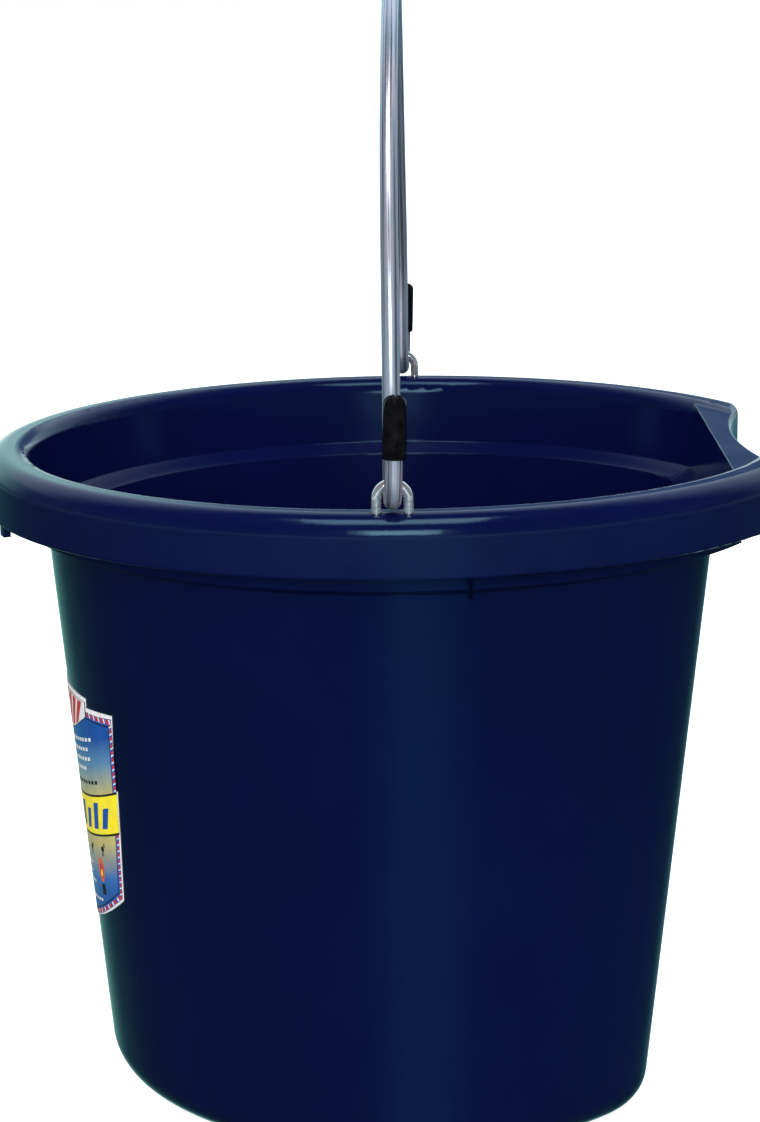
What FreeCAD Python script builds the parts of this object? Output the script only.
import FreeCAD, Part
import math
import os

# Flat-backed feed bucket with a steel bail, for hanging on a stall wall. Millimetres, +Z up.
# The bucket stands on Z = 0. X runs from its round front (-X) to its flat back (+X), and the bail
# swings about a line along Y. The origin lies on the ground under the middle of the whole outline.

Vector = FreeCAD.Vector
UP = Vector(0, 0, 1)

# ---- driving dimensions: the moulded shell ----
HEIGHT = 260.2             # ground to the crest of the rim
RIM_RADIUS = 165.0         # outside of the rim's skirt
SKIRT_DROP = 23.0          # crest to the skirt's lower edge
SKIRT_WALL = 3.0
CREST_OUTER = 156.6        # the crest is level between these two radii
CREST_INNER = 153.0
SHOULDER_ROUND = 8.0       # rounding from the crest out to the skirt
MOUTH_ROUND = 6.0          # rounding from the crest in to the mouth
RIM_TOP_WALL = 5.0         # thickness of the rim's top over its hollow underside

EAR_BACK = 144.5           # X of the two ear faces that meet the wall
SCALLOP_DEPTH = 8.7        # hollow between the ears
SCALLOP_RADIUS = 250.0
EAR_OUTER_ROUND = 12.0     # plan rounding where an ear meets the round skirt
EAR_INNER_ROUND = 8.0      # and where it meets the scallop
EAR_TOP_ROUND = 4.0        # rounding of the top edge round the back
SKIRT_EDGE_ROUND = 1.0
CHANNEL_ROUND = 4.5        # rounding at the top of the hollow under the rim
WEB_DROP = 1.5             # the flat top at the back lies this far under the crest

COLLAR_RADIUS = 150.5      # outside of the upright collar under the rim
COLLAR_FLAT = 130.7        # X of the collar's flat back, outside
COLLAR_WALL = 3.5
COLLAR_DRAFT = 2.5         # the collar's inside narrows by this much
COLLAR_OUT_LOW = 30.0      # crest to the outside ledge
COLLAR_LOW = 28.5          # crest to the inside ledge
LEDGE_FALL = 4.3           # height of the sloping ledge

BODY_TOP = 33.5            # crest to the top of the tapered body
BODY_TOP_RADIUS = 141.2
BODY_BASE_RADIUS = 121.3
BODY_TOP_FLAT = 120.4      # X of the body's flat back at its top
BODY_BASE_FLAT = 96.2      # and at its base
BODY_CORNER = 41.5         # plan radius where the round wall meets the flat back
WALL = 4.0
BASE_WALL = 6.0
BASE_ROUND = 15.0          # rounding of the base's outer edge
FOOT_INSET = 29.0          # the recess under the base starts this far inside the base's outline
FOOT_RECESS = 2.0

RIB_OFFSET = 27.0          # a gusset rib stands this far behind each eye bolt
RIB_THICK = 1.2
RIB_TAIL = 2.5             # a rib runs this far down the body
RIB_INNER = 8.0            # and starts this far inside the body's wall
PAD_HALF = 27.0            # half the length of the thicker rim under each eye bolt
PAD_THICK = 2.0
LUG_ANGLE = 24.0           # drip lugs under the skirt, from the front
LUG_WIDTH = 5.4
LUG_DROP = 3.5
LUG_SETBACK = 0.3          # a lug's face stays this far inside the skirt's

# ---- driving dimensions: eye bolts, bail, caps and label ----
PIVOT_X = 0.4              # the eyes stand this far behind the round wall's axis
EYE_Y = 157.0              # the eye bolts' middle, each side
EYE_WIRE = 3.6
EYE_WIDTH = 14.8           # over both legs
EYE_RISE = 11.8            # crest to the top of the eye
EYE_TAIL = 15.0            # crest to the leg's lower end
EYE_CHAMFER = 0.5
HOLE_CLEAR = 0.2           # radial clearance of a leg in its hole
PLATE_SIZE = (26.0, 7.2, 1.5)
PLATE_CORNER = 2.0
NUT_BORE_CLEAR = 0.05
NUT_FLATS = 7.0
NUT_HEIGHT = 3.2
NUT_CHAMFER = 0.5

ROD = 6.35                 # bail wire, a quarter inch
PIVOT_RISE = 4.05          # crest to the wire's middle inside the eye
HOOK_RADIUS = 6.2          # centreline of the closed hook
HOOK_TURN = 0.25           # arms stand this far in front of the pivot line, hooked ends behind it
HOOK_LEAN = 2.0            # degrees; the hooked ends lean back by this much
ROD_END_RISE = 39.8        # crest to the cut end of the wire
ARCH_TOP_RISE = 183.0      # crest to the top of the bail's centreline

CAP_DIAMETER = 8.3
CAP_LENGTH = 22.0
CAP_LOW_RISE = 19.8        # crest to the open end of the cap
CAP_BORE_CLEAR = 0.03
CAP_ROUND = 2.4

LABEL_THICK = 0.3
LABEL_GAP = 0.02
LABEL_SIDE_TOP = (80.8, 94.2)      # (half width, depth under the crest) at the side edges
LABEL_SIDE_BAND = (75.4, 126.4)    # where the wider middle band starts
LABEL_BAND_TOP = (77.1, 125.6)
LABEL_BAND_LOW = (74.5, 143.8)
LABEL_SIDE_LOW = (69.7, 172.8)
LABEL_NOTCH = (59.4, 96.8)         # where the top panel rises from the top edge
LABEL_PANEL = (60.4, 92.8)
LABEL_PEAK = 95.0
LABEL_LOW = 196.0

# ---- values that follow ----
AXIS_X = (RIM_RADIUS - EAR_BACK) / 2     # the round wall's axis, with the outline centred on X = 0
SKIRT_LOW = HEIGHT - SKIRT_DROP
BODY_HIGH = HEIGHT - BODY_TOP
PIVOT_Z = HEIGHT + PIVOT_RISE
ARM_Y = EYE_Y - HOOK_RADIUS              # the bail's arms, inboard of the eyes
RETURN_Y = EYE_Y + HOOK_RADIUS           # the hooked ends, outboard of the eyes
ARCH_Z = HEIGHT + ARCH_TOP_RISE - ARM_Y
LEG_X = (EYE_WIDTH - EYE_WIRE) / 2
LEGS_X = (PIVOT_X - LEG_X, PIVOT_X + LEG_X)
ARM_X = PIVOT_X - HOOK_TURN
RETURN_X = PIVOT_X + HOOK_TURN
PAD_LOW = HEIGHT - RIM_TOP_WALL - PAD_THICK
FAR = 400.0                              # longer than the bucket, for cutting blocks
OVERLAP = 1.0                            # cutting and joining solids run this far past a face
LEVEL_ERROR = 0.01                       # an edge this near to a height lies at it
SHORTEST_EDGE = 0.001
SIDES = {"left": 1, "right": -1}         # left is +Y, seen from the round front


def on_arc(centre_x, centre_z, radius, degrees):
    """A point on an arc in the XZ plane."""
    turn = math.radians(degrees)
    return (centre_x + radius * math.cos(turn), centre_z + radius * math.sin(turn))


def profile(*steps):
    """A closed face in the XZ plane. A step is (x, z), or (x, z, (via x, via z)) for an arc to it."""
    edges = []
    last = Vector(steps[-1][0], 0, steps[-1][1])
    for step in steps:
        point = Vector(step[0], 0, step[1])
        if len(step) == 3:
            via = Vector(step[2][0], 0, step[2][1])
            edges.append(Part.Arc(last, via, point).toShape())
        else:
            edges.append(Part.makeLine(last, point))
        last = point
    return Part.Face(Part.Wire(edges))


def turned(*steps):
    """A solid turned about the Z axis from a profile."""
    return profile(*steps).revolve(Vector(0, 0, 0), UP, 360)


def block(x_range, y_range, z_range):
    """A box from its lowest and highest X, Y and Z."""
    low = Vector(x_range[0], y_range[0], z_range[0])
    return Part.makeBox(x_range[1] - x_range[0], y_range[1] - y_range[0], z_range[1] - z_range[0], low)


def in_front_of(x_low, z_low, x_high, z_high):
    """Everything in front of a plane along Y that leans from (x_low, z_low) to (x_high, z_high)."""
    side = profile((-FAR, z_low), (x_low, z_low), (x_high, z_high), (-FAR, z_high))
    side.translate(Vector(0, -FAR, 0))
    return side.extrude(Vector(0, 2 * FAR, 0))


def d_wire(radius, flat, corner, z):
    """A circle with a flat back, the two joined by rounded corners."""
    corner_x = flat - corner
    corner_y = math.sqrt((radius - corner) ** 2 - corner_x ** 2)
    slant = math.degrees(math.atan2(corner_y, corner_x))
    round_x, round_y = on_arc(0, 0, radius, slant)
    via_x, via_y = on_arc(corner_x, corner_y, corner, slant / 2)
    left_round = Vector(round_x, round_y, z)
    left_flat = Vector(flat, corner_y, z)
    right_flat = Vector(flat, -corner_y, z)
    right_round = Vector(round_x, -round_y, z)
    front = Vector(-radius, 0, z)
    return Part.Wire([
        Part.Arc(left_round, front, right_round).toShape(),
        Part.Arc(right_round, Vector(via_x, -via_y, z), right_flat).toShape(),
        Part.makeLine(right_flat, left_flat),
        Part.Arc(left_flat, Vector(via_x, via_y, z), left_round).toShape(),
    ])


def tapered(inset, z_low, z_high):
    """The body's taper between two heights, set in from its outside by a wall thickness."""
    def section(z):
        share = z / BODY_HIGH
        radius = BODY_BASE_RADIUS + share * (BODY_TOP_RADIUS - BODY_BASE_RADIUS)
        flat = BODY_BASE_FLAT + share * (BODY_TOP_FLAT - BODY_BASE_FLAT)
        return d_wire(radius - inset, flat - inset, BODY_CORNER - inset, z)
    return Part.makeLoft([section(z_low), section(z_high)], True, True)


def level_edges(solid, z):
    """The edges that lie level at one height."""
    boxes = [(edge, edge.BoundBox) for edge in solid.Edges]
    return [edge for edge, box in boxes if max(abs(box.ZMin - z), abs(box.ZMax - z)) < LEVEL_ERROR]


def rim_prism(inset, z_low, z_high):
    """The rim's plan, set in by a wall thickness: a circle with two ears and a scallop between them."""
    radius = RIM_RADIUS - inset
    back = EAR_BACK - inset
    hollow = SCALLOP_RADIUS + inset
    hollow_x = EAR_BACK - SCALLOP_DEPTH + SCALLOP_RADIUS
    outer_round = EAR_OUTER_ROUND - inset
    inner_round = EAR_INNER_ROUND - inset
    outer_y = math.sqrt((radius - outer_round) ** 2 - (back - outer_round) ** 2)
    outer_turn = math.degrees(math.atan2(outer_y, back - outer_round))
    inner_y = math.sqrt((hollow + inner_round) ** 2 - (hollow_x - back + inner_round) ** 2)
    inner_turn = math.degrees(math.asin(inner_y / (hollow + inner_round)))
    corner = [
        on_arc(0, 0, radius, outer_turn),
        on_arc(back - outer_round, outer_y, outer_round, outer_turn / 2),
        (back, outer_y),
        (back, inner_y),
        on_arc(back - inner_round, inner_y, inner_round, -inner_turn / 2),
        on_arc(back - inner_round, inner_y, inner_round, -inner_turn),
    ]
    left = [Vector(x, y, z_low) for x, y in corner]
    right = [Vector(x, -y, z_low) for x, y in corner]
    plan = Part.Wire([
        Part.Arc(left[0], Vector(-radius, 0, z_low), right[0]).toShape(),
        Part.Arc(right[0], right[1], right[2]).toShape(),
        Part.makeLine(right[2], right[3]),
        Part.Arc(right[3], right[4], right[5]).toShape(),
        Part.Arc(right[5], Vector(hollow_x - hollow, 0, z_low), left[5]).toShape(),
        Part.Arc(left[5], left[4], left[3]).toShape(),
        Part.makeLine(left[3], left[2]),
        Part.Arc(left[2], left[1], left[0]).toShape(),
    ])
    return Part.Face(plan).extrude(Vector(0, 0, z_high - z_low))


def rim():
    """The rolled rim, filled, before its hollow underside is taken out."""
    shoulder_x = CREST_OUTER + SHOULDER_ROUND
    web_slope = 180 - math.degrees(math.asin((MOUTH_ROUND - WEB_DROP) / MOUTH_ROUND))
    web_edge = on_arc(CREST_INNER, HEIGHT - MOUTH_ROUND, MOUTH_ROUND, web_slope)
    disc = turned(
        (0, SKIRT_LOW),
        (RIM_RADIUS, SKIRT_LOW),
        (shoulder_x, HEIGHT - SHOULDER_ROUND),
        (CREST_OUTER, HEIGHT, on_arc(CREST_OUTER, HEIGHT - SHOULDER_ROUND, SHOULDER_ROUND, 45)),
        (CREST_INNER, HEIGHT),
        (*web_edge, on_arc(CREST_INNER, HEIGHT - MOUTH_ROUND, MOUTH_ROUND, (90 + web_slope) / 2)),
        (0, HEIGHT - WEB_DROP),
    )
    plan = rim_prism(0, SKIRT_LOW, HEIGHT)
    plan = plan.makeFillet(EAR_TOP_ROUND, level_edges(plan, HEIGHT))
    plan = plan.makeFillet(SKIRT_EDGE_ROUND, level_edges(plan, SKIRT_LOW))
    return disc.common(plan)


def channel():
    """The hollow under the rim, as deep as the rim's top wall allows."""
    top = HEIGHT - RIM_TOP_WALL
    space = rim_prism(SKIRT_WALL, SKIRT_LOW - OVERLAP, top)
    return space.makeFillet(CHANNEL_ROUND, level_edges(space, top))


def collar():
    """The upright wall between the rim and the ledge, filled."""
    top = HEIGHT - RIM_TOP_WALL / 2
    low = HEIGHT - COLLAR_OUT_LOW
    upright = turned((0, low), (COLLAR_RADIUS, low), (COLLAR_RADIUS, top), (0, top))
    upright = upright.common(in_front_of(COLLAR_FLAT, low, COLLAR_FLAT, top))
    ledge = turned((0, BODY_HIGH), (BODY_TOP_RADIUS, BODY_HIGH), (COLLAR_RADIUS, low), (0, low))
    ledge = ledge.common(in_front_of(BODY_TOP_FLAT, BODY_HIGH, COLLAR_FLAT, low))
    return upright.fuse(ledge)


def mouth():
    """The space inside the rim and collar, down to the body: it opens with a rounded edge."""
    ledge_z = HEIGHT - COLLAR_LOW
    body_z = ledge_z - LEDGE_FALL
    wide = COLLAR_RADIUS - COLLAR_WALL
    wide_flat = COLLAR_FLAT - COLLAR_WALL
    narrow = wide - COLLAR_DRAFT
    narrow_flat = wide_flat - COLLAR_DRAFT
    body_inside = BODY_TOP_RADIUS - WALL
    body_flat = BODY_TOP_FLAT - WALL
    round_z = HEIGHT - MOUTH_ROUND
    above = HEIGHT + OVERLAP
    well = turned((0, ledge_z), (narrow, ledge_z), (wide, round_z), (wide, above), (0, above))
    lip = turned(
        (0, round_z),
        (wide, round_z),
        (CREST_INNER, HEIGHT, on_arc(CREST_INNER, round_z, MOUTH_ROUND, 135)),
        (CREST_INNER, above),
        (0, above),
    )
    well = well.fuse(lip).common(in_front_of(narrow_flat, ledge_z, wide_flat, above))
    slope = turned((0, body_z), (body_inside, body_z), (narrow, ledge_z), (0, ledge_z))
    slope = slope.common(in_front_of(body_flat, body_z, narrow_flat, ledge_z))
    body = tapered(WALL, BASE_WALL, body_z)
    body = body.makeFillet(BASE_ROUND - WALL, level_edges(body, BASE_WALL))
    return [well, slope, body]


def bucket_shell():
    """The one-piece moulding: body, collar, rolled rim with a flat back, ribs, pads and lugs."""
    body = tapered(0, 0, BODY_HIGH)
    body = body.makeFillet(BASE_ROUND, level_edges(body, 0))
    space = channel()
    shell = rim().cut(space).fuse(collar()).fuse(body)
    for side in SIDES.values():
        pad_top = HEIGHT - RIM_TOP_WALL
        pad = block((PIVOT_X - PAD_HALF, PIVOT_X + PAD_HALF), sorted((side * ARM_Y, side * RIM_RADIUS)),
                    (PAD_LOW, pad_top))
        shell = shell.fuse(pad.common(space)).fuse(rib(side))
        lug = block((-RIM_RADIUS + LUG_SETBACK, -RIM_RADIUS + SKIRT_WALL), (-LUG_WIDTH / 2, LUG_WIDTH / 2),
                    (SKIRT_LOW - LUG_DROP, SKIRT_LOW + OVERLAP))
        lug.rotate(Vector(0, 0, 0), UP, side * LUG_ANGLE)
        shell = shell.fuse(lug)
    for opening in mouth():
        shell = shell.cut(opening)
    sizes = [size - FOOT_INSET for size in (BODY_BASE_RADIUS, BODY_BASE_FLAT, BODY_CORNER)]
    recess = d_wire(*sizes, -OVERLAP)
    shell = shell.cut(Part.Face(recess).extrude(Vector(0, 0, FOOT_RECESS + OVERLAP)))
    for side in SIDES.values():
        for leg_x in LEGS_X:
            start = Vector(leg_x, side * EYE_Y, SKIRT_LOW)
            shell = shell.cut(Part.makeCylinder(EYE_WIRE / 2 + HOLE_CLEAR, 2 * SKIRT_DROP, start))
    return shell.removeSplitter()


def rib(side):
    """An upright gusset under the rim, from the body out to the skirt."""
    x = PIVOT_X + RIB_OFFSET
    low = BODY_HIGH - RIB_TAIL
    inner = BODY_TOP_RADIUS - RIB_INNER
    wall = math.sqrt(BODY_TOP_RADIUS ** 2 - RIB_OFFSET ** 2)
    outer = math.sqrt((RIM_RADIUS - SKIRT_WALL / 2) ** 2 - RIB_OFFSET ** 2)
    top = HEIGHT - RIM_TOP_WALL / 2
    corners = [(inner, low), (wall, low), (outer, SKIRT_LOW + OVERLAP), (outer, HEIGHT - 2 * SHOULDER_ROUND),
               (wall, top), (inner, top)]
    points = [Vector(x - RIB_THICK / 2, side * y, z) for y, z in corners]
    plate = Part.Face(Part.makePolygon(points + points[:1]))
    return plate.extrude(Vector(RIB_THICK, 0, 0))


def bent_wire(points, bends, diameter):
    """A round wire through corner points, each inner corner rounded to its own bend radius."""
    edges = []
    start = points[0]
    for before, corner, after, bend in zip(points, points[1:], points[2:], bends):
        into = (corner - before).normalize()
        away = (after - corner).normalize()
        half_turn = into.getAngle(away) / 2
        reach = bend * math.tan(half_turn)
        bend_start = corner - into * reach
        bend_end = corner + away * reach
        inward = (away - into).normalize()
        middle = corner + inward * (bend / math.cos(half_turn) - bend)
        if (bend_start - start).Length > SHORTEST_EDGE:
            edges.append(Part.makeLine(start, bend_start))
        edges.append(Part.Arc(bend_start, middle, bend_end).toShape())
        start = bend_end
    edges.append(Part.makeLine(start, points[-1]))
    path = Part.Wire(edges)
    circle = Part.Wire(Part.makeCircle(diameter / 2, points[0], points[1] - points[0]))
    return path.makePipeShell([circle], True, True)


def eye_bolt(side):
    """The U-shaped eye: two legs down through the rim and a round top."""
    y = side * EYE_Y
    low = HEIGHT - EYE_TAIL
    top = HEIGHT + EYE_RISE - EYE_WIRE / 2
    front, back = LEGS_X
    corners = [Vector(front, y, low), Vector(front, y, top), Vector(back, y, top), Vector(back, y, low)]
    wire = bent_wire(corners, (LEG_X, LEG_X), EYE_WIRE)
    return wire.makeChamfer(EYE_CHAMFER, level_edges(wire, low))


def backing_plate(side):
    """The steel strip that spreads an eye bolt's load under the rim."""
    length, width, thick = PLATE_SIZE
    y = side * EYE_Y
    plate = block((PIVOT_X - length / 2, PIVOT_X + length / 2), (y - width / 2, y + width / 2),
                  (PAD_LOW - thick, PAD_LOW))
    upright = [e for e in plate.Edges if e.BoundBox.ZLength > thick / 2]
    plate = plate.makeFillet(PLATE_CORNER, upright)
    for leg_x in LEGS_X:
        start = Vector(leg_x, y, PAD_LOW - 2 * thick)
        plate = plate.cut(Part.makeCylinder(EYE_WIRE / 2 + HOLE_CLEAR, 4 * thick, start))
    return plate


def nut_pair(side):
    """The two hex nuts on an eye bolt's legs."""
    top = PAD_LOW - PLATE_SIZE[2]
    corner = NUT_FLATS / math.sqrt(3)
    nuts = []
    for leg_x in LEGS_X:
        middle = Vector(leg_x, side * EYE_Y, top - NUT_HEIGHT)
        turns = [math.radians(60 * step) for step in range(7)]
        points = [middle + Vector(corner * math.cos(turn), corner * math.sin(turn), 0) for turn in turns]
        nut = Part.Face(Part.makePolygon(points)).extrude(Vector(0, 0, NUT_HEIGHT))
        low_radius = corner - NUT_CHAMFER
        cone = Part.makeCone(low_radius, low_radius + NUT_HEIGHT, NUT_HEIGHT, middle)
        bore = Part.makeCylinder(EYE_WIRE / 2 + NUT_BORE_CLEAR, NUT_HEIGHT, middle)
        nuts.append(nut.common(cone).cut(bore))
    return Part.makeCompound(nuts)


def bail_rod():
    """The bail: a half-round arch, straight arms, and a closed hook through each eye."""
    hook_z = PIVOT_Z
    end_z = HEIGHT + ROD_END_RISE
    end_x = RETURN_X + (end_z - hook_z) * math.tan(math.radians(HOOK_LEAN))
    top_z = ARCH_Z + ARM_Y
    corners = [
        Vector(end_x, -RETURN_Y, end_z),
        Vector(RETURN_X, -RETURN_Y, hook_z),
        Vector(ARM_X, -ARM_Y, hook_z),
        Vector(ARM_X, -ARM_Y, top_z),
        Vector(ARM_X, ARM_Y, top_z),
        Vector(ARM_X, ARM_Y, hook_z),
        Vector(RETURN_X, RETURN_Y, hook_z),
        Vector(end_x, RETURN_Y, end_z),
    ]
    return bent_wire(corners, (HOOK_RADIUS, HOOK_RADIUS, ARM_Y, ARM_Y, HOOK_RADIUS, HOOK_RADIUS), ROD)


def bail_cap(side):
    """The soft cap over a hooked end, open below and closed above."""
    radius = CAP_DIAMETER / 2
    bore = ROD / 2 + CAP_BORE_CLEAR
    low = HEIGHT + CAP_LOW_RISE
    high = low + CAP_LENGTH
    end = HEIGHT + ROD_END_RISE + 2 * CAP_BORE_CLEAR
    cap = turned(
        (bore, low),
        (radius, low),
        (radius, high - CAP_ROUND),
        (radius - CAP_ROUND, high, on_arc(radius - CAP_ROUND, high - CAP_ROUND, CAP_ROUND, 45)),
        (0, high),
        (0, end),
        (bore, end),
    )
    cap.rotate(Vector(0, 0, PIVOT_Z), Vector(0, 1, 0), HOOK_LEAN)
    cap.translate(Vector(RETURN_X, side * RETURN_Y, 0))
    return cap


def label():
    """The thin sticker wrapped on the round front."""
    def skin(offset):
        low = BODY_BASE_RADIUS + offset
        return turned((0, 0), (low, 0), (BODY_TOP_RADIUS + offset, BODY_HIGH), (0, BODY_HIGH))
    upper = [LABEL_SIDE_LOW, LABEL_BAND_LOW, LABEL_BAND_TOP, LABEL_SIDE_BAND, LABEL_SIDE_TOP, LABEL_NOTCH,
             LABEL_PANEL, (0, LABEL_PEAK)]
    points = [Vector(-FAR / 2, y, HEIGHT - drop) for y, drop in upper]
    points += [Vector(-FAR / 2, -y, HEIGHT - drop) for y, drop in upper[-2::-1]]
    lowest = Vector(-FAR / 2, 0, HEIGHT - LABEL_LOW)
    outline = Part.Wire(Part.makePolygon(points).Edges + [Part.Arc(points[-1], lowest, points[0]).toShape()])
    window = Part.Face(outline).extrude(Vector(FAR / 2, 0, 0))
    sheet = skin(LABEL_GAP + LABEL_THICK).cut(skin(LABEL_GAP))
    return sheet.common(window)


def save(name, shape):
    """Writes one node, moved so that the whole outline is centred on the origin."""
    placed = shape.copy()
    placed.translate(Vector(AXIS_X, 0, 0))
    if not placed.isValid():
        raise ValueError(name + " is not a valid solid")
    placed.exportStep("parts/" + name + ".step")


def main():
    os.makedirs("parts", exist_ok=True)
    save("bucket_shell", bucket_shell())
    save("label", label())
    save("bail_rod", bail_rod())
    for name, side in SIDES.items():
        save("eye_bolt_" + name, eye_bolt(side))
        save("backing_plate_" + name, backing_plate(side))
        save("eye_nuts_" + name, nut_pair(side))
        save("bail_cap_" + name, bail_cap(side))


main()
